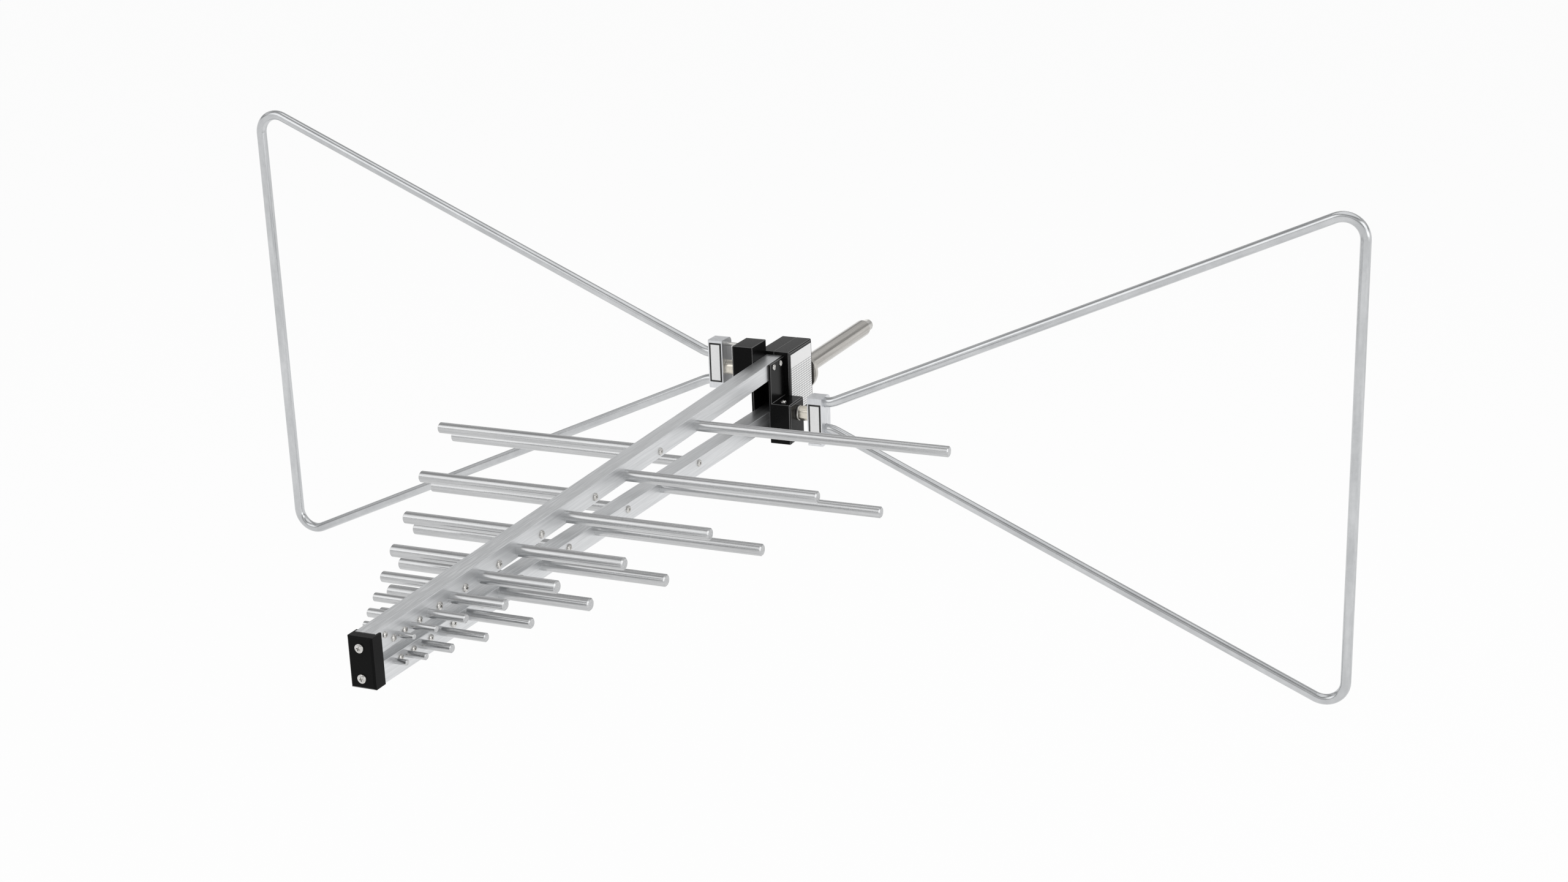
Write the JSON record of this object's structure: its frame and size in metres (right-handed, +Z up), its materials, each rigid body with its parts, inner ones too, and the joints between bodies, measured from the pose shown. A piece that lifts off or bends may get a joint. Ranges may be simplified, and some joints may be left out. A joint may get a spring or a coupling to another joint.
{
  "type": "broadband emc test antenna",
  "caption": "Hybrid broadband test antenna: log-periodic rods on two booms, bow-tie loops, a balun housing and a round tube for mast mounting.",
  "frame": {"origin": "on the mounting tube's axis, midway along its plain length", "axes": "+X along the rods to the right seen from the front cap's side of the picture, +Y along the booms towards the mounting tube, +Z up"},
  "size_m": [1.402, 1.1212, 0.6148],
  "materials": {
    "rod_aluminium": "drawn, satin",
    "boom_aluminium": "brushed along its length",
    "loop_aluminium": "drawn, bright",
    "clamp_aluminium": "satin",
    "black_plastic": "satin black",
    "housing_black": "satin black",
    "nickel": "nickel plated",
    "nut_brass": "nickel plated, warm",
    "tube_steel": "turned",
    "cable_black": "matt",
    "ferrite": "matt"
  },
  "bodies": {
    "root": {"arm_sockets": "nickel", "balun_core": "ferrite", "boom_plugs": "cable_black", "clamp_left": "clamp_aluminium", "clamp_right": "clamp_aluminium", "coupling_nut_left": "nut_brass", "coupling_nut_right": "nut_brass", "feed_line": "cable_black", "front_cap": "black_plastic", "guide_pins": "nickel", "housing_left": "housing_black", "housing_right": "housing_black", "loop_left": "loop_aluminium", "loop_right": "loop_aluminium", "lower_boom": "boom_aluminium", "mount_flange": "tube_steel", "mount_tube": "tube_steel", "rear_socket": "nickel", "rod_01_left": "rod_aluminium", "rod_01_right": "rod_aluminium", "rod_02_left": "rod_aluminium", "rod_02_right": "rod_aluminium", "rod_03_left": "rod_aluminium", "rod_03_right": "rod_aluminium", "rod_04_left": "rod_aluminium", "rod_04_right": "rod_aluminium", "rod_05_left": "rod_aluminium", "rod_05_right": "rod_aluminium", "rod_06_left": "rod_aluminium", "rod_06_right": "rod_aluminium", "rod_07_left": "rod_aluminium", "rod_07_right": "rod_aluminium", "rod_08_left": "rod_aluminium", "rod_08_right": "rod_aluminium", "rod_09_left": "rod_aluminium", "rod_09_right": "rod_aluminium", "rod_10_left": "rod_aluminium", "rod_10_right": "rod_aluminium", "rod_11_left": "rod_aluminium", "rod_11_right": "rod_aluminium", "rod_12_left": "rod_aluminium", "rod_12_right": "rod_aluminium", "rod_13_left": "rod_aluminium", "rod_13_right": "rod_aluminium", "rod_14_left": "rod_aluminium", "rod_14_right": "rod_aluminium", "rod_15_left": "rod_aluminium", "rod_15_right": "rod_aluminium", "rod_16_left": "rod_aluminium", "rod_16_right": "rod_aluminium", "rod_17_left": "rod_aluminium", "rod_17_right": "rod_aluminium", "rod_18_left": "rod_aluminium", "rod_18_right": "rod_aluminium", "rod_screws": "nickel", "side_block_left": "black_plastic", "side_block_right": "black_plastic", "small_screws": "nickel", "upper_boom": "boom_aluminium"}
  },
  "joints": []
}
